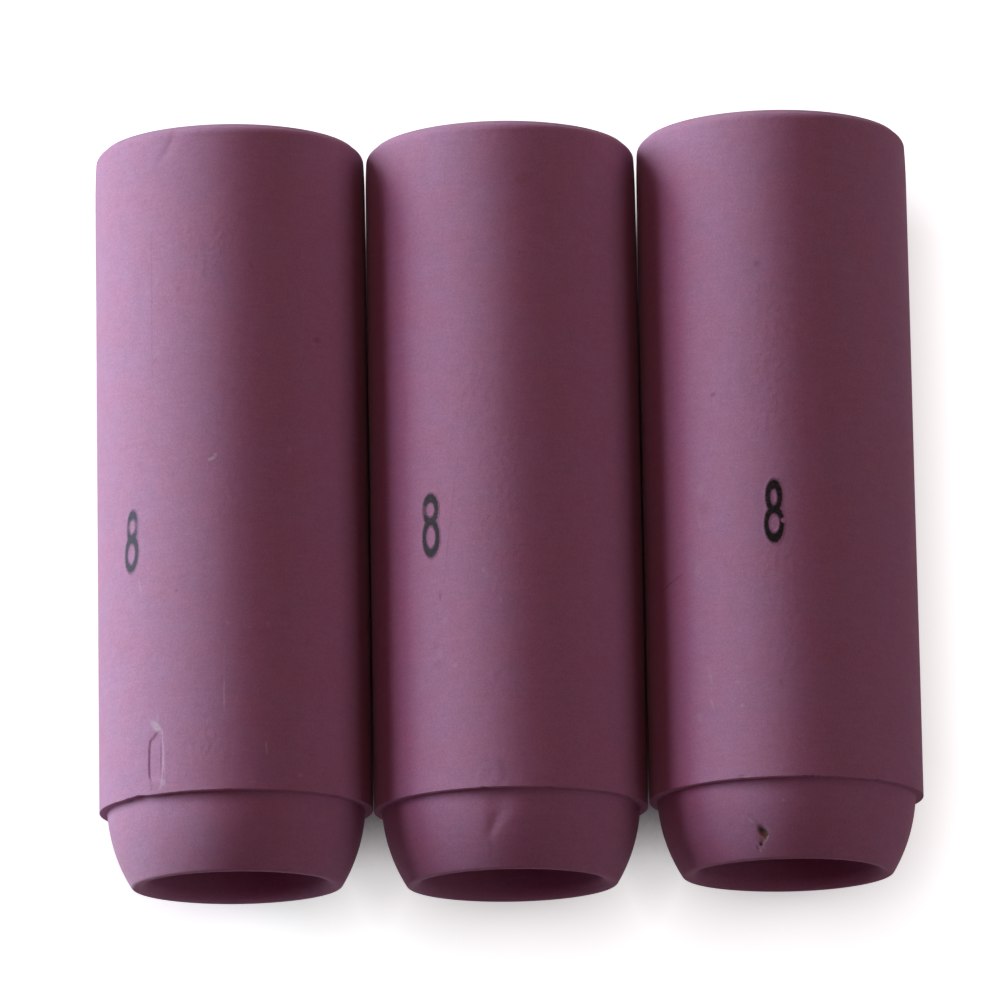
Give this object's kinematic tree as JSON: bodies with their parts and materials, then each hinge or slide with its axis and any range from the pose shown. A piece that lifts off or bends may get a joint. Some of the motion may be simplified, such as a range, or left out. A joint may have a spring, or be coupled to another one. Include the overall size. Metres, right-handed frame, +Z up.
{
  "type": "tig torch gas nozzle set",
  "caption": "Set of alumina gas nozzles for a TIG torch, lying side by side, each with a threaded back end, a straight bore and a stepped, rounded nose.",
  "frame": {"origin": "on the surface that the nozzles lie on, under the middle of the set", "axes": "+Y along the nozzles' axes towards the threaded back ends, +X across the row, +Z up"},
  "size_m": [0.052, 0.0478, 0.0173],
  "materials": {
    "fired_alumina": "unglazed pink fired alumina, matt and finely grained, with a printed size number on each body"
  },
  "bodies": {
    "middle": {"nozzle_middle": "fired_alumina"},
    "left": {"nozzle_left": "fired_alumina"},
    "right": {"nozzle_right": "fired_alumina"}
  },
  "joints": [
    {"name": "left_slide", "type": "slide", "parent": "middle", "child": "left", "axis": [-1, 0, 0], "range_m": [0, 0.05]},
    {"name": "right_slide", "type": "slide", "parent": "middle", "child": "right", "axis": [1, 0, 0], "range_m": [0, 0.05]}
  ]
}
